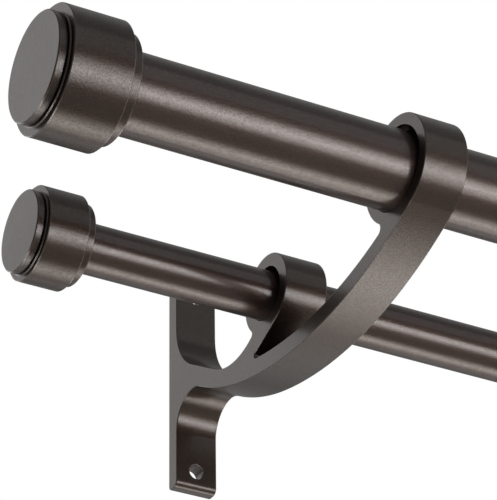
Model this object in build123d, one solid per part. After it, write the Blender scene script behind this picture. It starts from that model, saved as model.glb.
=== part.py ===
from build123d import *
from dataclasses import dataclass
import math
import os

# A double curtain pole for a wall: two poles of different thickness, one in front of the other,
# carried by two equal brackets and closed by turned end caps.
# Frame: x runs along the poles, y = 0 is the wall and the room is at -y, z is up.
# The origin is midway between the left bracket's two screw holes, on its wall face.
# All sizes are in millimetres.

# Poles: each is a thin tube with a closer inner tube that slides out to the right
front_pole_diameter = 25.0
front_pole_wall = 1.2
front_inner_wall = 1.0
rear_pole_diameter = 16.0
rear_pole_wall = 1.0
rear_inner_wall = 0.9
telescope_clearance = 0.1      # radial, between inner and outer tube
closed_length = 711.0          # front pole between its caps, pushed fully in
telescope_shortfall = 203.0    # how much less than its closed length a pole draws out
telescope_overlap = 100.0      # inner tube still held when fully drawn out
closing_gap = 0.3              # from the outer tube's mouth to the cap that closes over it

# Where the caps stand out past the bracket's middle
front_overhang = 99.9
rear_overhang = 73.35

# Bracket: one profile, cut from an extruded bar
bracket_width = 14.7
plate_height = 77.8
plate_thickness = 5.3
plate_room_radius = 2.1         # rounding of the plate's ends, on the room side
plate_wall_radius = 1.4         # and against the wall
screw_hole_spacing = 65.0
screw_hole_diameter = 5.2
front_reach = 143.8            # front ring's middle, out from the wall
front_rise = 4.9               # front ring's middle, up from the origin
front_ring_wall = 3.7
front_ring_clearance = 1.1     # radial, around the pole
rear_reach = 65.2
rear_ring_wall = 4.3
rear_ring_clearance = 1.0
rear_ring_gap = 7.48           # from the rear ring down to the bow's upper curve
pole_seat_gap = 0.05           # the pole rests on the bottom of its ring
edge_round = 0.3

# Arm: a long bow under both rings, with a slot that parts it from the rear ring
bow_low_reach = 85.0           # the bow's lowest point, out from the wall
bow_radius = 148.0
bow_thickness = 6.0
bow_taper = 3.0                # how much smaller the upper curve's radius is
bow_turn = 13.0                # degrees past the lowest point, where the root begins
root_radius = 108.0
lower_fillet_radius = 10.4
upper_fillet_radius = 21.0
upper_fillet_rise = 16.6       # its middle, up from the rear ring's middle
front_notch_radius = 2.0
slot_offset = 6.8              # slot's blind end, in from the rear ring's middle
slot_radius = 1.1
window_offset = 21.7           # middle of the window's floor, in from the rear ring's middle
window_drop = 14.2             # window's floor, down from the rear ring's middle
window_radius = 24.0
rear_notch_radius = 1.2

# Ring screws: one above each pole, pressing it down on its seat
grub_diameter = 4.0
grub_length = 5.0
grub_clearance = 0.05
grub_tip_gap = 0.02
grub_chamfer = 0.4
grub_hex_width = 2.0
grub_hex_depth = 2.0

# End caps, from the face inwards
front_cap_face_radius = 16.75
front_cap_face_length = 2.4
front_cap_barrel_radius = 19.65
front_cap_barrel_length = 19.05
front_cap_collar_length = 3.6
rear_cap_face_radius = 13.05
rear_cap_face_length = 2.15
rear_cap_barrel_radius = 15.15
rear_cap_barrel_length = 13.4
rear_cap_collar_length = 2.9
cap_groove_width = 0.75
cap_groove_depth = 1.5
cap_lip_height = 0.35          # a thin raised ring on the barrel's face, beside the groove
cap_lip_overhang = 0.3         # how much wider it is than the face disc
cap_lip_chamfer = 0.15
cap_face_chamfer = 0.35
cap_edge_chamfer = 0.25
front_socket_depth = 8.0
rear_socket_depth = 6.0
socket_clearance = 0.1

# Fixing of each cap: a stud between the cap and a plug in the tube's end
stud_diameter = 6.0
stud_in_cap = 8.0
stud_in_plug = 10.0
stud_chamfer = 0.5
stud_clearance = 0.05
stud_end_gap = 0.5
plug_length = 16.0
plug_flange_thickness = 1.5
plug_flange_inset = 0.2
plug_clearance = 0.05
plug_rib_count = 4
plug_rib_depth = 0.5

# Sizes that follow
bracket_span = closed_length - 2 * front_overhang
telescope_travel = closed_length - telescope_shortfall
front_ring_inner = front_pole_diameter / 2 + front_ring_clearance
rear_ring_inner = rear_pole_diameter / 2 + rear_ring_clearance
front_ring_outer = front_ring_inner + front_ring_wall
rear_ring_outer = rear_ring_inner + rear_ring_wall

# The bow's lower curve runs round the front ring, and its upper curve carries the rear one
front_ring = Vector(-front_reach, front_rise)
bow_height = math.sqrt((bow_radius - front_ring_outer) ** 2 - (front_reach - bow_low_reach) ** 2)
bow = Vector(-bow_low_reach, front_rise + bow_height)
bow_upper_radius = bow_radius - bow_taper
bow_upper = bow + Vector(0, bow_thickness - bow_taper)
rear_ring_arm = bow_upper_radius - rear_ring_outer - rear_ring_gap
rear_ring_drop = math.sqrt(rear_ring_arm ** 2 - (bow_low_reach - rear_reach) ** 2)
rear_ring = Vector(-rear_reach, bow_upper.Y - rear_ring_drop)


@dataclass
class Cap:
    """An end cap's turned sizes, with x running inwards from its face."""

    face_radius: float
    face_length: float
    barrel_radius: float
    barrel_length: float
    collar_length: float
    socket_depth: float

    @property
    def groove_end(self):
        """Where the lip begins."""
        return self.face_length + cap_groove_width

    @property
    def shoulder(self):
        """Where the barrel begins."""
        return self.groove_end + cap_lip_height

    @property
    def barrel_end(self):
        """Where the collar begins."""
        return self.shoulder + self.barrel_length

    @property
    def length(self):
        """The whole length."""
        return self.barrel_end + self.collar_length

    @property
    def floor(self):
        """Where the socket ends."""
        return self.length - self.socket_depth


@dataclass
class Pole:
    """One telescopic pole, its place in the rings and its caps."""

    name: str
    ring: Vector
    ring_clearance: float
    radius: float
    wall: float
    inner_wall: float
    overhang: float
    cap: Cap

    @property
    def height(self):
        """The axis, on the bottom of the ring."""
        return self.ring.Y - self.ring_clearance + pole_seat_gap

    @property
    def bore(self):
        """The outer tube's inside radius."""
        return self.radius - self.wall

    @property
    def inner_radius(self):
        """The inner tube's outside radius."""
        return self.bore - telescope_clearance

    @property
    def inner_bore(self):
        """The inner tube's inside radius."""
        return self.inner_radius - self.inner_wall


front_pole = Pole(
    "front", front_ring, front_ring_clearance, front_pole_diameter / 2, front_pole_wall, front_inner_wall,
    front_overhang,
    Cap(front_cap_face_radius, front_cap_face_length, front_cap_barrel_radius, front_cap_barrel_length,
        front_cap_collar_length, front_socket_depth))
rear_pole = Pole(
    "rear", rear_ring, rear_ring_clearance, rear_pole_diameter / 2, rear_pole_wall, rear_inner_wall,
    rear_overhang,
    Cap(rear_cap_face_radius, rear_cap_face_length, rear_cap_barrel_radius, rear_cap_barrel_length,
        rear_cap_collar_length, rear_socket_depth))


def meet(centre_a, radius_a, centre_b, radius_b):
    """The lower of the two points at radius_a from one centre and radius_b from the other."""
    span = centre_b - centre_a
    along = (span.length ** 2 + radius_a ** 2 - radius_b ** 2) / (2 * span.length)
    across = math.sqrt(radius_a ** 2 - along ** 2)
    unit = span.normalized()
    foot = centre_a + unit * along
    offset = Vector(-unit.Y, unit.X) * across
    return min(foot + offset, foot - offset, key=lambda point: point.Y)


def toward(centre, target, radius):
    """The point of a circle on the line from its centre to a target."""
    return centre + (target - centre).normalized() * radius


def arc(centre, start, end, long_way=False):
    """An arc about a centre, the short way round unless long_way is set."""
    bisector = ((start - centre) + (end - centre)).normalized()
    side = -1 if long_way else 1
    middle = centre + bisector * (start - centre).length * side
    return ThreePointArc(start, middle, end)


def turned(points):
    """A solid of revolution about x, from the (x, radius) points of its half section."""
    outline = make_face(Polyline(*points, close=True))
    return revolve(outline, Axis.X, 360)


def plate_end(corner_out, corner_in):
    """The rounded end of the wall plate, from its room side to its wall side."""
    up = 1 if corner_out.Y > 0 else -1
    room = plate_room_radius
    wall = plate_wall_radius
    room_centre = corner_out + Vector(room, -up * room)
    wall_centre = corner_in + Vector(-wall, -up * wall)
    start = room_centre - Vector(room, 0)
    room_end = room_centre + Vector(0, up * room)
    wall_start = wall_centre + Vector(0, up * wall)
    end = wall_centre + Vector(wall, 0)
    edges = [
        arc(room_centre, start, room_end),
        Line(room_end, wall_start),
        arc(wall_centre, wall_start, end),
    ]
    return edges, start, end


def bracket_outline():
    """The bracket's side profile, with y to the right and z up."""
    wall_front = -plate_thickness
    half = plate_height / 2

    # The root curves on up to the fillet under it
    turn = math.radians(bow_turn)
    bow_end = bow + Vector(math.sin(turn), -math.cos(turn)) * bow_radius
    root = toward(bow_end, bow, root_radius)

    fillet_x = wall_front - lower_fillet_radius
    fillet_reach = root_radius + lower_fillet_radius
    fillet_drop = math.sqrt(fillet_reach ** 2 - (fillet_x - root.X) ** 2)
    lower_fillet = Vector(fillet_x, root.Y - fillet_drop)
    root_end = toward(lower_fillet, root, lower_fillet_radius)
    lower_wall = lower_fillet + Vector(lower_fillet_radius, 0)

    # The window between the rear ring and the wall: its floor, a straight rise and the upper fillet
    window = Vector(rear_ring.X + window_offset, rear_ring.Y - window_drop + window_radius)
    upper_fillet = Vector(wall_front - upper_fillet_radius, rear_ring.Y + upper_fillet_rise)
    upper_wall = upper_fillet + Vector(upper_fillet_radius, 0)
    span = upper_fillet - window
    slope = math.atan2(span.Y, span.X) + math.asin((window_radius - upper_fillet_radius) / span.length)
    down = Vector(math.sin(slope), -math.cos(slope))
    window_end = window + down * window_radius
    fillet_end = upper_fillet + down * upper_fillet_radius

    # The notch where the window meets the rear ring
    rear_notch = meet(rear_ring, rear_ring_outer + rear_notch_radius,
                      window, window_radius - rear_notch_radius)
    rear_notch_start = toward(window, rear_notch, window_radius)
    rear_notch_end = toward(rear_ring, rear_notch, rear_ring_outer)

    # The slot under the rear ring, whose upper side is the ring's straight neck
    slot_x = rear_ring.X + slot_offset
    slot_reach = bow_upper_radius - slot_radius
    slot = Vector(slot_x, bow_upper.Y - math.sqrt(slot_reach ** 2 - (slot_x - bow_upper.X) ** 2))
    neck = slot - rear_ring
    neck_slope = math.atan2(neck.Y, neck.X) + math.asin((rear_ring_outer + slot_radius) / neck.length)
    neck_normal = Vector(math.sin(neck_slope), -math.cos(neck_slope))
    neck_start = rear_ring + neck_normal * rear_ring_outer
    neck_end = slot - neck_normal * slot_radius
    slot_end = toward(bow_upper, slot, bow_upper_radius)

    # The notch where the bow's upper curve meets the front ring
    front_notch = meet(front_ring, front_ring_outer + front_notch_radius,
                       bow_upper, bow_upper_radius - front_notch_radius)
    front_notch_start = toward(bow_upper, front_notch, bow_upper_radius)
    front_notch_end = toward(front_ring, front_notch, front_ring_outer)
    bow_start = front_ring + (front_ring - bow).normalized() * front_ring_outer

    top, top_front, top_back = plate_end(Vector(wall_front, half), Vector(0, half))
    bottom, bottom_front, bottom_back = plate_end(Vector(wall_front, -half), Vector(0, -half))
    return [
        Line(bottom_back, top_back),
        *top,
        Line(top_front, upper_wall),
        arc(upper_fillet, upper_wall, fillet_end),
        Line(fillet_end, window_end),
        arc(window, window_end, rear_notch_start),
        arc(rear_notch, rear_notch_start, rear_notch_end),
        arc(rear_ring, rear_notch_end, neck_start, long_way=True),
        Line(neck_start, neck_end),
        arc(slot, neck_end, slot_end),
        arc(bow_upper, slot_end, front_notch_start),
        arc(front_notch, front_notch_start, front_notch_end),
        arc(front_ring, front_notch_end, bow_start, long_way=True),
        arc(bow, bow_start, bow_end),
        arc(root, bow_end, root_end),
        arc(lower_fillet, root_end, lower_wall),
        Line(lower_wall, bottom_front),
        *bottom,
    ]


def build_bracket():
    """One bracket, with its middle at x = 0."""
    side = Plane.YZ * make_face(bracket_outline())
    body = extrude(side, bracket_width / 2, both=True)
    long_edges = body.edges().group_by(Axis.X)
    body = fillet(long_edges[0] + long_edges[-1], edge_round)
    grub_hole = grub_diameter / 2 + grub_clearance
    for ring, inner, outer in (
        (front_ring, front_ring_inner, front_ring_outer),
        (rear_ring, rear_ring_inner, rear_ring_outer),
    ):
        body -= Pos(0, ring.X, ring.Y) * Rot(0, 90, 0) * Cylinder(inner, 2 * bracket_width)
        body -= Pos(0, ring.X, ring.Y + outer) * Cylinder(grub_hole, 2 * outer)
    screw_hole = Rot(90, 0, 0) * Cylinder(screw_hole_diameter / 2, 4 * plate_thickness)
    for height in (-screw_hole_spacing / 2, screw_hole_spacing / 2):
        body -= Pos(0, 0, height) * screw_hole
    return body


def tube(outer_radius, inner_radius, start, end):
    """A plain tube along x."""
    length = end - start
    wall = Cylinder(outer_radius, length) - Cylinder(inner_radius, 2 * length)
    return Pos((start + end) / 2, 0, 0) * Rot(0, 90, 0) * wall


def build_cap(cap, pole_radius):
    """An end cap with its face at x = 0 and its socket opening towards +x."""
    face = cap.face_radius
    barrel = cap.barrel_radius
    edge = cap_edge_chamfer
    groove = face - cap_groove_depth
    lip = face + cap_lip_overhang
    socket = pole_radius + socket_clearance
    hole = stud_diameter / 2 + stud_clearance
    hole_end = cap.floor - stud_in_cap - stud_end_gap
    return turned([
        (0, 0),
        (0, face - cap_face_chamfer),
        (cap_face_chamfer, face),
        (cap.face_length, face),
        (cap.face_length, groove),
        (cap.groove_end, groove),
        (cap.groove_end, lip - cap_lip_chamfer),
        (cap.groove_end + cap_lip_chamfer, lip),
        (cap.shoulder, lip),
        (cap.shoulder, barrel - edge),
        (cap.shoulder + edge, barrel),
        (cap.barrel_end - edge, barrel),
        (cap.barrel_end, barrel - edge),
        (cap.barrel_end, face),
        (cap.length - edge, face),
        (cap.length, face - edge),
        (cap.length, socket),
        (cap.floor, socket),
        (cap.floor, hole),
        (hole_end, hole),
        (hole_end, 0),
    ])


def build_stud():
    """A stud that crosses the socket's floor at x = 0, with the cap at -x."""
    radius = stud_diameter / 2
    return turned([
        (-stud_in_cap, 0),
        (-stud_in_cap, radius - stud_chamfer),
        (-stud_in_cap + stud_chamfer, radius),
        (stud_in_plug - stud_chamfer, radius),
        (stud_in_plug, radius - stud_chamfer),
        (stud_in_plug, 0),
    ])


def build_plug(tube_radius, bore_radius):
    """A ribbed plug whose flange stands between the socket's floor at x = 0 and the tube's end."""
    body = bore_radius - plug_clearance
    hole = stud_diameter / 2 + stud_clearance
    flange = tube_radius - plug_flange_inset
    pitch = plug_length / plug_rib_count
    points = [(0, hole), (0, flange), (plug_flange_thickness, flange)]
    for rib in range(plug_rib_count):
        start = plug_flange_thickness + rib * pitch
        middle = start + pitch / 2
        points += [(start, body), (middle, body)]
        points += [(middle, body - plug_rib_depth), (start + pitch, body - plug_rib_depth)]
    points += [(plug_flange_thickness + plug_length, hole)]
    return turned(points)


def build_grub_screw(pole):
    """A socket screw above a pole, with its tip on the pole."""
    body = Cylinder(grub_diameter / 2, grub_length, align=(Align.CENTER, Align.CENTER, Align.MIN))
    body = chamfer(body.edges().filter_by(GeomType.CIRCLE), grub_chamfer)
    hexagon = RegularPolygon(grub_hex_width / 2, 6, major_radius=False)
    body -= extrude(Pos(0, 0, grub_length) * hexagon, -grub_hex_depth)
    return Pos(0, pole.ring.X, pole.height + pole.radius + grub_tip_gap) * body


def build_pole(pole):
    """All that belongs to one pole: tubes, caps, studs and plugs, by node name."""
    axis = Pos(0, pole.ring.X, pole.height)
    turn = Rot(0, 0, 180)
    left_mouth = -pole.overhang
    right_mouth = bracket_span + pole.overhang
    left_floor = left_mouth - pole.cap.socket_depth
    right_floor = right_mouth + pole.cap.socket_depth
    inner_end = right_floor - plug_flange_thickness
    inner_start = inner_end - telescope_travel - telescope_overlap
    outer = tube(pole.radius, pole.bore, left_floor + plug_flange_thickness, right_floor - closing_gap)
    inner = tube(pole.inner_radius, pole.inner_bore, inner_start, inner_end)
    cap = build_cap(pole.cap, pole.radius)
    return {
        f"{pole.name}_outer_tube": axis * outer,
        f"{pole.name}_inner_tube": axis * inner,
        f"{pole.name}_left_cap": axis * Pos(left_mouth - pole.cap.length, 0, 0) * cap,
        f"{pole.name}_right_cap": axis * Pos(right_mouth + pole.cap.length, 0, 0) * turn * cap,
        f"{pole.name}_left_stud": axis * Pos(left_floor, 0, 0) * build_stud(),
        f"{pole.name}_right_stud": axis * Pos(right_floor, 0, 0) * turn * build_stud(),
        f"{pole.name}_left_plug": axis * Pos(left_floor, 0, 0) * build_plug(pole.radius, pole.bore),
        f"{pole.name}_right_plug": axis * Pos(right_floor, 0, 0) * turn
        * build_plug(pole.inner_radius, pole.inner_bore),
    }


def build_parts():
    """Every solid of the assembly, by node name."""
    parts = {**build_pole(front_pole), **build_pole(rear_pole)}
    bracket = build_bracket()
    for side, x in (("left", 0), ("right", bracket_span)):
        parts[f"{side}_bracket"] = Pos(x, 0, 0) * bracket
        for pole in (front_pole, rear_pole):
            parts[f"{side}_{pole.name}_grub_screw"] = Pos(x, 0, 0) * build_grub_screw(pole)
    return parts


os.makedirs("parts", exist_ok=True)
for node, solid in build_parts().items():
    export_step(solid, f"parts/{node}.step")
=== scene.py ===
"""A double curtain pole in dark bronze lacquer: finishes, light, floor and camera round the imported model."""

import logging
import math
from dataclasses import dataclass
from enum import Enum

import bpy
from mathutils import Matrix, Vector

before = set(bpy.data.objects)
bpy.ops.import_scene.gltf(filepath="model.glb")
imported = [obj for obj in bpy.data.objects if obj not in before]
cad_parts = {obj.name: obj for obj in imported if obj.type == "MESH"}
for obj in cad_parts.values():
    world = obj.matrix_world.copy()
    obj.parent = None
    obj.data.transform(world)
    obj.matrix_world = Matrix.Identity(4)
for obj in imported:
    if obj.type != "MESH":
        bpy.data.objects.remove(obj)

log = logging.getLogger("double_curtain_pole")

MM = 0.001
NODE_SPACING = 220             # between the nodes of a tree, as the node editor draws them

# The range over which each effect's texture runs from nothing to full
HAZE_RANGE = (0.35, 0.65)
SLIDE_RANGE = (0.52, 0.70)
EDGE_RANGE = (0.995, 0.9)      # cosine between the true normal and the softened one
END_FACE_RANGE = (0.85, 0.97)  # how squarely a face looks along x
FLAKE_HEIGHT_SCALE = 0.55      # the fine height's waves for each flake

Colour = tuple[float, float, float]
Point = tuple[float, float, float]


class Side(Enum):
    """The two ends of the set."""

    LEFT = "left"
    RIGHT = "right"


class Row(Enum):
    """The two poles, by where they hang."""

    FRONT = "front"
    REAR = "rear"


class Coating(Enum):
    """The finishes, each with its material's name."""

    BRACKET = "bracket_lacquer"
    POLE = "pole_lacquer"
    SLIDING_POLE = "sliding_pole_lacquer"
    CAP = "cap_lacquer"
    ZINC = "zinc_plate"
    BLACK_STEEL = "black_steel"
    MOULDING = "black_moulding"
    FLOOR = "pale_floor"


class Group(Enum):
    """The shader node groups that the finishes share."""

    FLAKE = "metal_flake"
    HAZE = "handling_haze"
    # mask of the painted edge highlight, also standing for rubbed lacquer, with the softened edge normal
    EDGE = "edge_rub_and_highlight"
    SLIDE = "slide_marks"


Paints = dict[Coating, bpy.types.Material]


# Shader groups


class NodeNet:
    """A short way to add and link shader nodes in one tree."""

    def __init__(self, tree: bpy.types.NodeTree) -> None:
        """Wraps a node tree.

        Args:
            tree: The tree that the nodes go into.
        """
        self.tree = tree
        self.column = 0

    def add(self, kind: str, **values: object) -> bpy.types.Node:
        """Adds a node and sets its properties, then its sockets by name.

        Args:
            kind: The node's type name.
            **values: Node properties, or socket values with spaces written as underscores.

        Returns:
            The new node.
        """
        node = self.tree.nodes.new(kind)
        node.location = (NODE_SPACING * self.column, 0)
        self.column += 1
        for name, value in values.items():
            if hasattr(node, name):
                setattr(node, name, value)
            else:
                node.inputs[name.replace("_", " ")].default_value = value
        return node

    def link(self, source: bpy.types.NodeSocket, target: bpy.types.NodeSocket) -> None:
        """Links an output to an input."""
        self.tree.links.new(source, target)

    def group(self, name: Group, **values: float) -> bpy.types.Node:
        """Places a shared group.

        Args:
            name: The group.
            **values: Its inputs, by name.

        Returns:
            The group's node.
        """
        node = self.add("ShaderNodeGroup", node_tree=bpy.data.node_groups[name.value])
        for label, value in values.items():
            node.inputs[label].default_value = value
        return node

    def maths(self, operation: str, *terms: bpy.types.NodeSocket | float) -> bpy.types.NodeSocket:
        """Adds a Math node.

        Args:
            operation: The Math node's operation.
            *terms: Sockets or numbers, in the node's order.

        Returns:
            The node's result.
        """
        node = self.add("ShaderNodeMath", operation=operation)
        for place, term in enumerate(terms):
            if isinstance(term, (int, float)):
                node.inputs[place].default_value = term
            else:
                self.link(term, node.inputs[place])
        return node.outputs[0]

    def spread(
        self, value: bpy.types.NodeSocket, low: float, high: float, to_low: float = 0.0, to_high: float = 1.0
    ) -> bpy.types.NodeSocket:
        """Maps a range of values to another, clamped.

        Args:
            value: The socket to map.
            low: The value that gives to_low.
            high: The value that gives to_high.
            to_low: The result at low.
            to_high: The result at high.

        Returns:
            The mapped value.
        """
        node = self.add("ShaderNodeMapRange")
        for name, number in (("From Min", low), ("From Max", high), ("To Min", to_low), ("To Max", to_high)):
            node.inputs[name].default_value = number
        self.link(value, node.inputs["Value"])
        return node.outputs["Result"]


def new_material(name: str) -> tuple[bpy.types.Material, NodeNet, bpy.types.Node]:
    """Starts a material.

    Args:
        name: The material's name.

    Returns:
        The material, its net and its Principled BSDF.
    """
    material = bpy.data.materials.new(name)
    material.use_nodes = True
    net = NodeNet(material.node_tree)
    return material, net, net.tree.nodes["Principled BSDF"]


def new_group(
    name: Group, inputs: dict[str, float], outputs: dict[str, str]
) -> tuple[NodeNet, bpy.types.Node, bpy.types.Node]:
    """Starts a shader node group.

    Args:
        name: The group's name.
        inputs: Each float input and its default.
        outputs: Each output and its socket type.

    Returns:
        The group's net, its input node and its output node.
    """
    tree = bpy.data.node_groups.new(name.value, "ShaderNodeTree")
    for label, default in inputs.items():
        socket = tree.interface.new_socket(label, in_out="INPUT", socket_type="NodeSocketFloat")
        socket.default_value = default
    for label, kind in outputs.items():
        tree.interface.new_socket(label, in_out="OUTPUT", socket_type=kind)
    net = NodeNet(tree)
    return net, net.add("NodeGroupInput"), net.add("NodeGroupOutput")


def build_flake_group() -> None:
    """Metal flakes in lacquer: a brightness, a sparkle and a fine height, with less sparkle on end faces."""
    net, given, result = new_group(
        Group.FLAKE,
        {"Size": 0.3, "Strength": 0.3, "End Sparkle": 0.3},
        {"Brightness": "NodeSocketFloat", "Sparkle": "NodeSocketFloat", "Height": "NodeSocketFloat"},
    )
    place = net.add("ShaderNodeTexCoord")
    scale = net.maths("DIVIDE", 1.0, net.maths("MULTIPLY", given.outputs["Size"], MM))
    cells = net.add("ShaderNodeTexVoronoi", feature="F1")
    net.link(place.outputs["Object"], cells.inputs["Vector"])
    net.link(scale, cells.inputs["Scale"])
    parts = net.add("ShaderNodeSeparateColor")
    net.link(cells.outputs["Color"], parts.inputs["Color"])
    centred = net.maths("SUBTRACT", parts.outputs["Red"], 0.5)
    swing = net.maths("MULTIPLY", centred, given.outputs["Strength"])
    net.link(net.maths("ADD", swing, 1.0), result.inputs["Brightness"])
    facing = net.add("ShaderNodeSeparateXYZ")
    net.link(place.outputs["Normal"], facing.inputs["Vector"])
    end_face = net.spread(net.maths("ABSOLUTE", facing.outputs["X"]), *END_FACE_RANGE)
    calmed = net.maths("MULTIPLY", end_face, net.maths("SUBTRACT", 1.0, given.outputs["End Sparkle"]))
    sparkle = net.maths("SUBTRACT", parts.outputs["Green"], 0.5)
    kept = net.maths("MULTIPLY", sparkle, net.maths("SUBTRACT", 1.0, calmed))
    net.link(net.maths("ADD", kept, 0.5), result.inputs["Sparkle"])
    fine = net.add("ShaderNodeTexNoise", Detail=2.0, Roughness=0.6)
    net.link(place.outputs["Object"], fine.inputs["Vector"])
    net.link(net.maths("MULTIPLY", scale, FLAKE_HEIGHT_SCALE), fine.inputs["Scale"])
    net.link(fine.outputs["Fac"], result.inputs["Height"])


def build_haze_group() -> None:
    """Broad soft patches from handling and polishing."""
    net, given, result = new_group(Group.HAZE, {"Size": 30.0}, {"Mask": "NodeSocketFloat"})
    place = net.add("ShaderNodeTexCoord")
    scale = net.maths("DIVIDE", 1.0, net.maths("MULTIPLY", given.outputs["Size"], MM))
    cloud = net.add("ShaderNodeTexNoise", Detail=4.0, Roughness=0.55)
    net.link(place.outputs["Object"], cloud.inputs["Vector"])
    net.link(scale, cloud.inputs["Scale"])
    net.link(net.spread(cloud.outputs["Fac"], *HAZE_RANGE), result.inputs["Mask"])


def build_edge_group() -> None:
    """Edges: a mask for painted edge highlight and rubbed lacquer, and the soft turn of their surface."""
    net, given, result = new_group(
        Group.EDGE, {"Width": 0.5}, {"Mask": "NodeSocketFloat", "Normal": "NodeSocketVector"}
    )
    bevel = net.add("ShaderNodeBevel", samples=6)
    net.link(net.maths("MULTIPLY", given.outputs["Width"], MM), bevel.inputs["Radius"])
    surface = net.add("ShaderNodeNewGeometry")
    turn = net.add("ShaderNodeVectorMath", operation="DOT_PRODUCT")
    net.link(bevel.outputs["Normal"], turn.inputs[0])
    net.link(surface.outputs["Normal"], turn.inputs[1])
    net.link(net.spread(turn.outputs["Value"], *EDGE_RANGE), result.inputs["Mask"])
    net.link(bevel.outputs["Normal"], result.inputs["Normal"])


def build_slide_group() -> None:
    """Fine marks along x, where one tube has slid in another."""
    net, given, result = new_group(Group.SLIDE, {"Width": 0.6, "Length": 60.0}, {"Mask": "NodeSocketFloat"})
    place = net.add("ShaderNodeTexCoord")
    squeeze = net.add("ShaderNodeCombineXYZ", Y=1.0, Z=1.0)
    net.link(net.maths("DIVIDE", given.outputs["Width"], given.outputs["Length"]), squeeze.inputs["X"])
    along = net.add("ShaderNodeVectorMath", operation="MULTIPLY")
    net.link(place.outputs["Object"], along.inputs[0])
    net.link(squeeze.outputs["Vector"], along.inputs[1])
    scale = net.maths("DIVIDE", 1.0, net.maths("MULTIPLY", given.outputs["Width"], MM))
    marks = net.add("ShaderNodeTexNoise", Detail=2.0, Roughness=0.5)
    net.link(along.outputs["Vector"], marks.inputs["Vector"])
    net.link(scale, marks.inputs["Scale"])
    net.link(net.spread(marks.outputs["Fac"], *SLIDE_RANGE), result.inputs["Mask"])


# Finishes


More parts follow.
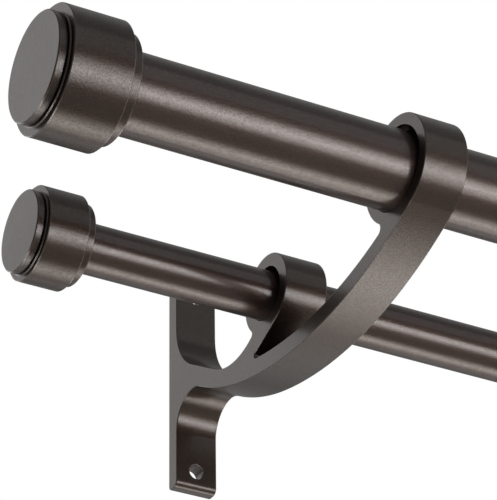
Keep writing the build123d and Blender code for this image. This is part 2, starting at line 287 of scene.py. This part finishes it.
@dataclass(frozen=True)
class Lacquer:
    """Dark bronze lacquer with fine metal flake.

    Attributes:
        base: The lacquer's own colour.
        edge: The lighter colour along edges, a painted edge highlight that also stands for lacquer rubbed thin.
        edge_rub_and_highlight: How far an edge takes on that colour.
        metallic: How metallic the flake makes it.
        roughness: Its usual roughness.
        haze: How much handling adds to the roughness, or takes from it.
        flake_size: One flake in mm.
        flake_strength: How much the flakes differ in brightness.
        flake_tilt: Bump depth of the flakes, in mm.
        coat: Weight of the clear layer.
        coat_grain: The share by which the clear layer's gloss differs from grain to grain.
        coat_roughness: Roughness of the clear layer.
        coat_index: Refractive index of the clear layer.
        slide: How strongly the marks of sliding show.
        slide_rub: How far a full mark of sliding takes on the edge's colour.
        slide_gloss: The share of the clear layer's gloss that a full mark leaves.
    """

    base: Colour = (0.042, 0.026, 0.021)
    # The edge colour paints a highlight along edges, and also stands for rubbed lacquer.
    edge: Colour = (0.30, 0.25, 0.22)
    edge_rub_and_highlight: float = 0.5
    metallic: float = 0.95
    roughness: float = 0.42
    haze: float = 0.02
    flake_size: float = 0.38
    flake_strength: float = 0.25
    flake_tilt: float = 0.10
    coat: float = 0.62
    coat_grain: float = 0.32
    coat_roughness: float = 0.19
    coat_index: float = 1.68
    slide: float = 0.0
    slide_rub: float = 0.12
    slide_gloss: float = 0.6

    def make(self, name: str) -> bpy.types.Material:
        """Builds the material.

        Args:
            name: The material's name.

        Returns:
            The new material.
        """
        material, net, shader = new_material(name)
        flake = net.group(Group.FLAKE, Size=self.flake_size, Strength=self.flake_strength)
        edge = net.group(Group.EDGE)
        slide = net.maths("MULTIPLY", net.group(Group.SLIDE).outputs["Mask"], self.slide)
        self.add_colour(net, shader, flake, edge, slide)
        self.add_gloss(net, shader, flake, slide)
        self.add_surface(net, shader, flake, edge)
        return material

    def add_colour(
        self,
        net: NodeNet,
        shader: bpy.types.Node,
        flake: bpy.types.Node,
        edge: bpy.types.Node,
        slide: bpy.types.NodeSocket,
    ) -> None:
        """Colours the lacquer by flake, lightening edges (painted highlight and rub) and marks of sliding.

        Args:
            net: The material's net.
            shader: Its Principled BSDF.
            flake: The flake group's node.
            edge: The edge group's node.
            slide: The marks of sliding.
        """
        bright = net.add("ShaderNodeMix", data_type="RGBA", blend_type="MULTIPLY")
        bright.inputs["Factor"].default_value = 1.0
        bright.inputs["A"].default_value = (*self.base, 1.0)
        net.link(flake.outputs["Brightness"], bright.inputs["B"])
        # Edges get a painted highlight, also standing for rubbed lacquer; marks of sliding are real wear.
        worn_and_highlit = net.add("ShaderNodeMix", data_type="RGBA")
        worn_and_highlit.inputs["B"].default_value = (*self.edge, 1.0)
        at_edge = net.maths("MULTIPLY", edge.outputs["Mask"], self.edge_rub_and_highlight)
        at_mark = net.maths("MULTIPLY", slide, self.slide_rub)
        net.link(net.maths("MAXIMUM", at_edge, at_mark), worn_and_highlit.inputs["Factor"])
        net.link(bright.outputs["Result"], worn_and_highlit.inputs["A"])
        net.link(worn_and_highlit.outputs["Result"], shader.inputs["Base Color"])
        shader.inputs["Metallic"].default_value = self.metallic

    def add_gloss(
        self, net: NodeNet, shader: bpy.types.Node, flake: bpy.types.Node, slide: bpy.types.NodeSocket
    ) -> None:
        """Sets the roughness and the clear layer, which differs from grain to grain.

        Args:
            net: The material's net.
            shader: Its Principled BSDF.
            flake: The flake group's node.
            slide: The marks of sliding.
        """
        handled = net.group(Group.HAZE).outputs["Mask"]
        rough = net.spread(handled, 0.0, 1.0, self.roughness - self.haze, self.roughness + self.haze)
        net.link(rough, shader.inputs["Roughness"])
        low, high = self.coat * (1.0 - self.coat_grain), self.coat * (1.0 + self.coat_grain)
        gloss = net.spread(flake.outputs["Sparkle"], 0.0, 1.0, low, high)
        dulled = net.maths("MULTIPLY", gloss, net.spread(slide, 0.0, 1.0, 1.0, self.slide_gloss))
        net.link(dulled, shader.inputs["Coat Weight"])
        shader.inputs["Coat Roughness"].default_value = self.coat_roughness
        shader.inputs["Coat IOR"].default_value = self.coat_index

    def add_surface(
        self, net: NodeNet, shader: bpy.types.Node, flake: bpy.types.Node, edge: bpy.types.Node
    ) -> None:
        """Tilts the surface a little at each flake, and softens its edges.

        Args:
            net: The material's net.
            shader: Its Principled BSDF.
            flake: The flake group's node.
            edge: The edge group's node.
        """
        bump = net.add("ShaderNodeBump", Strength=1.0, Distance=self.flake_tilt * MM)
        net.link(flake.outputs["Height"], bump.inputs["Height"])
        net.link(edge.outputs["Normal"], bump.inputs["Normal"])
        net.link(bump.outputs["Normal"], shader.inputs["Normal"])


@dataclass(frozen=True)
class BareMetal:
    """Plain or blackened steel of the small fixings.

    Attributes:
        base: The metal's colour.
        roughness: Roughness where it is bright.
        patch: Size of one dull patch in mm.
        dulling: How much rougher a dull patch is.
        dark: The share of the colour that is left between the patches.
    """

    base: Colour
    roughness: float
    patch: float = 2.0
    dulling: float = 0.12
    dark: float = 0.8

    def make(self, name: str) -> bpy.types.Material:
        """Builds the material.

        Args:
            name: The material's name.

        Returns:
            The new material.
        """
        material, net, shader = new_material(name)
        haze = net.group(Group.HAZE, Size=self.patch)
        tone = net.add("ShaderNodeMix", data_type="RGBA")
        tone.inputs["A"].default_value = (*(part * self.dark for part in self.base), 1.0)
        tone.inputs["B"].default_value = (*self.base, 1.0)
        net.link(haze.outputs["Mask"], tone.inputs["Factor"])
        net.link(tone.outputs["Result"], shader.inputs["Base Color"])
        rough = net.spread(haze.outputs["Mask"], 0.0, 1.0, self.roughness, self.roughness + self.dulling)
        net.link(rough, shader.inputs["Roughness"])
        shader.inputs["Metallic"].default_value = 1.0
        return material


@dataclass(frozen=True)
class Moulding:
    """Moulded black plastic of the tube plugs.

    Attributes:
        base: The plastic's colour.
        roughness: Roughness where it is smooth.
        patch: Size of one dull patch in mm.
        dulling: How much rougher a dull patch is.
    """

    base: Colour = (0.012, 0.012, 0.012)
    roughness: float = 0.55
    patch: float = 4.0
    dulling: float = 0.1

    def make(self, name: str) -> bpy.types.Material:
        """Builds the material.

        Args:
            name: The material's name.

        Returns:
            The new material.
        """
        material, net, shader = new_material(name)
        shader.inputs["Base Color"].default_value = (*self.base, 1.0)
        haze = net.group(Group.HAZE, Size=self.patch)
        rough = net.spread(haze.outputs["Mask"], 0.0, 1.0, self.roughness, self.roughness + self.dulling)
        net.link(rough, shader.inputs["Roughness"])
        return material


@dataclass(frozen=True)
class FloorPaint:
    """Matt pale floor, which the camera sees paler than its light makes it.

    Attributes:
        base: The floor's colour.
        roughness: Its roughness.
        glow: The colour by which the camera sees it paler.
        lift: How much of that colour it sees.
    """

    base: Colour = (0.75, 0.75, 0.74)
    roughness: float = 0.8
    glow: Colour = (1.0, 1.0, 0.99)
    lift: float = 0.55

    def make(self, name: str) -> bpy.types.Material:
        """Builds the material.

        Args:
            name: The material's name.

        Returns:
            The new material.
        """
        material, net, shader = new_material(name)
        shader.inputs["Base Color"].default_value = (*self.base, 1.0)
        shader.inputs["Roughness"].default_value = self.roughness
        path = net.add("ShaderNodeLightPath")
        shader.inputs["Emission Color"].default_value = (*self.glow, 1.0)
        seen = net.maths("MULTIPLY", path.outputs["Is Camera Ray"], self.lift)
        net.link(seen, shader.inputs["Emission Strength"])
        return material


FINISHES: dict[Coating, Lacquer | BareMetal | Moulding | FloorPaint] = {
    Coating.BRACKET: Lacquer(base=(0.0345, 0.0222, 0.0165), coat=0.55, coat_grain=0.22),
    Coating.POLE: Lacquer(),
    Coating.SLIDING_POLE: Lacquer(slide=0.8),
    Coating.CAP: Lacquer(base=(0.034, 0.0222, 0.0170), coat=0.48, coat_grain=0.34),
    Coating.ZINC: BareMetal((0.55, 0.56, 0.57), 0.28),
    Coating.BLACK_STEEL: BareMetal((0.06, 0.057, 0.055), 0.35),
    Coating.MOULDING: Moulding(),
    Coating.FLOOR: FloorPaint(),
}


def make_paints() -> Paints:
    """Builds the shared groups, then every finish once.

    Returns:
        Each coating's material.
    """
    build_flake_group()
    build_haze_group()
    build_edge_group()
    build_slide_group()
    return {coating: finish.make(coating.value) for coating, finish in FINISHES.items()}


# The set's pieces


def dress(node: str, material: bpy.types.Material) -> None:
    """Gives a CAD node its finish.

    Args:
        node: The node's name.
        material: Its new material.
    """
    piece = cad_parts[node]
    piece.data.materials.clear()
    piece.data.materials.append(material)
    log.info("dressed %s with %s", node, material.name)


@dataclass(frozen=True)
class Bracket:
    """One wall bracket, with a screw in each ring.

    Attributes:
        side: The end that it carries.
    """

    side: Side

    def dress(self, paints: Paints) -> None:
        """Finishes the bracket and its screws.

        Args:
            paints: Each coating's material.
        """
        dress(f"{self.side.value}_bracket", paints[Coating.BRACKET])
        for row in Row:
            dress(f"{self.side.value}_{row.value}_grub_screw", paints[Coating.BLACK_STEEL])


@dataclass(frozen=True)
class EndCap:
    """One end cap, with its stud and the plug that holds it.

    Attributes:
        row: The pole that it closes.
        side: The end that it closes.
    """

    row: Row
    side: Side

    def dress(self, paints: Paints) -> None:
        """Finishes the cap, stud and plug.

        Args:
            paints: Each coating's material.
        """
        end = f"{self.row.value}_{self.side.value}"
        dress(f"{end}_cap", paints[Coating.CAP])
        dress(f"{end}_stud", paints[Coating.ZINC])
        dress(f"{end}_plug", paints[Coating.MOULDING])


@dataclass(frozen=True)
class Pole:
    """One telescopic pole: two tubes and two end caps.

    Attributes:
        row: Where it hangs.
    """

    row: Row

    def dress(self, paints: Paints) -> None:
        """Finishes both tubes and both caps.

        Args:
            paints: Each coating's material.
        """
        dress(f"{self.row.value}_outer_tube", paints[Coating.POLE])
        dress(f"{self.row.value}_inner_tube", paints[Coating.SLIDING_POLE])
        for side in Side:
            EndCap(self.row, side).dress(paints)


# Studio


@dataclass(frozen=True)
class Softbox:
    """A rectangular soft light with a brighter middle, that faces a point.

    Attributes:
        name: The light's name.
        place: Where it stands, in metres.
        aim: The point that it faces.
        width: Its size along x, in metres.
        height: Its other size.
        radiance: Its brightness in the middle, in watts per square metre and steradian.
        layers: How many panels, each less high than the last, make its bright middle.
        tint: Its colour.
    """

    name: str
    place: Point
    aim: Point
    width: float
    height: float
    radiance: float
    layers: int = 1
    tint: Colour = (1.0, 1.0, 1.0)

    def set_up(self) -> None:
        """Builds the light's panels, the widest first."""
        back = (Vector(self.place) - Vector(self.aim)).normalized()
        across = (Vector((1.0, 0.0, 0.0)) - back * back.x).normalized()
        up = back.cross(across)
        turn = Matrix((across, up, back)).transposed().to_4x4()
        for layer in range(self.layers):
            lamp = bpy.data.lights.new(f"{self.name}_{layer}", "AREA")
            lamp.shape = "RECTANGLE"
            lamp.color = self.tint
            lamp.size = self.width
            lamp.size_y = self.height * (self.layers - layer) / self.layers
            lamp.energy = math.pi * lamp.size * lamp.size_y * self.radiance / self.layers
            stand = bpy.data.objects.new(lamp.name, lamp)
            stand.visible_camera = False
            bpy.context.scene.collection.objects.link(stand)
            stand.matrix_world = Matrix.Translation(Vector(self.place) - back * MM * layer) @ turn


@dataclass(frozen=True)
class Backdrop:
    """The studio's surroundings: a white view, and an even dim light from all round.

    Attributes:
        level: Brightness of the surroundings as light.
    """

    level: float = 0.25

    def set_up(self) -> None:
        """Builds the world."""
        world = bpy.data.worlds.new("studio")
        bpy.context.scene.world = world
        world.use_nodes = True
        net = NodeNet(world.node_tree)
        shade = net.tree.nodes["Background"]
        path = net.add("ShaderNodeLightPath")
        net.link(net.spread(path.outputs["Is Camera Ray"], 0.0, 1.0, self.level, 1.0), shade.inputs["Strength"])
        shade.inputs["Color"].default_value = (1.0, 1.0, 1.0, 1.0)


@dataclass(frozen=True)
class Floor:
    """A plain pale floor, as far below the poles as under a window.

    Attributes:
        height: Its level in metres.
        reach: Half its width in metres.
    """

    height: float = -2.6
    reach: float = 60.0

    def build(self, paint: bpy.types.Material) -> None:
        """Builds the floor.

        Args:
            paint: The floor's material.
        """
        far = self.reach
        points = [(x, y, self.height) for x, y in ((-far, -far), (far, -far), (far, far), (-far, far))]
        mesh = bpy.data.meshes.new("floor")
        mesh.from_pydata(points, [], [tuple(range(len(points)))])
        mesh.materials.append(paint)
        floor = bpy.data.objects.new("floor", mesh)
        bpy.context.scene.collection.objects.link(floor)
        log.info("built %s with %s", floor.name, paint.name)


@dataclass(frozen=True)
class Camera:
    """The photograph's own view, from the left, in front and below.

    Attributes:
        place: The lens in metres.
        azimuth: Degrees that it looks to the right of +y.
        elevation: Degrees that it looks up.
        roll: Degrees that it leans.
        lens: Focal length in mm.
        sensor: The picture's long side on the sensor, in mm.
        near: What is nearer than this, in metres, isn't seen.
    """

    place: Point = (-0.433443, -0.810202, -0.489287)
    azimuth: float = 29.42267
    elevation: float = 30.58167
    roll: float = -0.80643
    lens: float = 226.2
    sensor: float = 36.0
    near: float = 0.05

    def set_up(self) -> None:
        """Builds the camera and makes it the scene's."""
        data = bpy.data.cameras.new("camera")
        data.sensor_width = self.sensor
        data.lens = self.lens
        data.clip_start = self.near
        camera = bpy.data.objects.new("camera", data)
        bpy.context.scene.collection.objects.link(camera)
        a, e, r = (math.radians(value) for value in (self.azimuth, self.elevation, self.roll))
        ahead = Vector((math.sin(a) * math.cos(e), math.cos(a) * math.cos(e), math.sin(e)))
        level = Vector((math.cos(a), -math.sin(a), 0.0))
        above = level.cross(ahead)
        right = level * math.cos(r) + above * math.sin(r)
        up = above * math.cos(r) - level * math.sin(r)
        turn = Matrix((right, up, -ahead)).transposed()
        camera.matrix_world = Matrix.Translation(self.place) @ turn.to_4x4()
        bpy.context.scene.camera = camera


@dataclass(frozen=True)
class Studio:
    """Everything round the object.

    Attributes:
        backdrop: Its surroundings.
        floor: What is under it.
        camera: Where it is seen from.
        lights: What lights it, each by name, place, aim, width, height, radiance, layers and tint.
    """

    backdrop: Backdrop = Backdrop()
    floor: Floor = Floor()
    camera: Camera = Camera()
    lights: tuple[Softbox, ...] = (
        Softbox("front_strip", (0.55, -0.716, -0.215), (0.55, -0.10, 0.0), 1.1, 0.54, 6.5, 8),
        Softbox("under_strip", (0.475, 0.089, -0.45), (0.475, -0.10, 0.0), 1.05, 0.41, 4.1, 8, (1.0, 0.975, 0.92)),
        Softbox("gap_panel", (0.50, -0.36, -0.50), (0.50, -0.10, 0.0), 1.1, 0.30, 0.18, 1, (1.0, 0.80, 0.65)),
        Softbox("back_panel", (0.60, 0.722, -0.496), (0.60, -0.10, 0.0), 2.8, 0.75, 0.6, 4),
        Softbox("fill_panel", (1.02, -1.28, 0.93), (1.02, -0.10, 0.0), 2.0, 1.0, 0.36),
        Softbox("edge_panel", (-0.66, 0.21, -0.45), (-0.10, -0.14, 0.0), 0.35, 0.40, 7.0, 2),
        Softbox("left_panel", (-0.95, 1.40, 1.02), (0.0, -0.10, 0.0), 1.8, 1.8, 0.74),
        Softbox("top_panel", (0.50, 0.28, 1.35), (0.50, -0.10, 0.0), 1.8, 0.9, 0.08),
        Softbox("rear_left_strip", (-0.10, 1.10, 0.15), (-0.10, -0.10, 0.0), 0.5, 0.5, 2.0, 4),
        Softbox("rear_right_strip", (1.25, 1.05, 0.40), (1.25, -0.10, 0.0), 0.8, 0.6, 2.0, 4),
        Softbox("right_panel", (2.10, -0.55, 0.45), (0.60, -0.10, 0.0), 1.2, 1.2, 1.0),
    )

    def set_up(self, paints: Paints) -> None:
        """Builds it all.

        Args:
            paints: Each coating's material.
        """
        self.backdrop.set_up()
        self.floor.build(paints[Coating.FLOOR])
        for light in self.lights:
            light.set_up()
        self.camera.set_up()
        bpy.context.scene.view_settings.view_transform = "Standard"


def main() -> None:
    """Dresses every node, then sets up the studio."""
    logging.basicConfig(level=logging.INFO, format="%(message)s")
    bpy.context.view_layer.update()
    paints = make_paints()
    for side in Side:
        Bracket(side).dress(paints)
    for row in Row:
        Pole(row).dress(paints)
    Studio().set_up(paints)


if __name__ == "__main__":
    main()
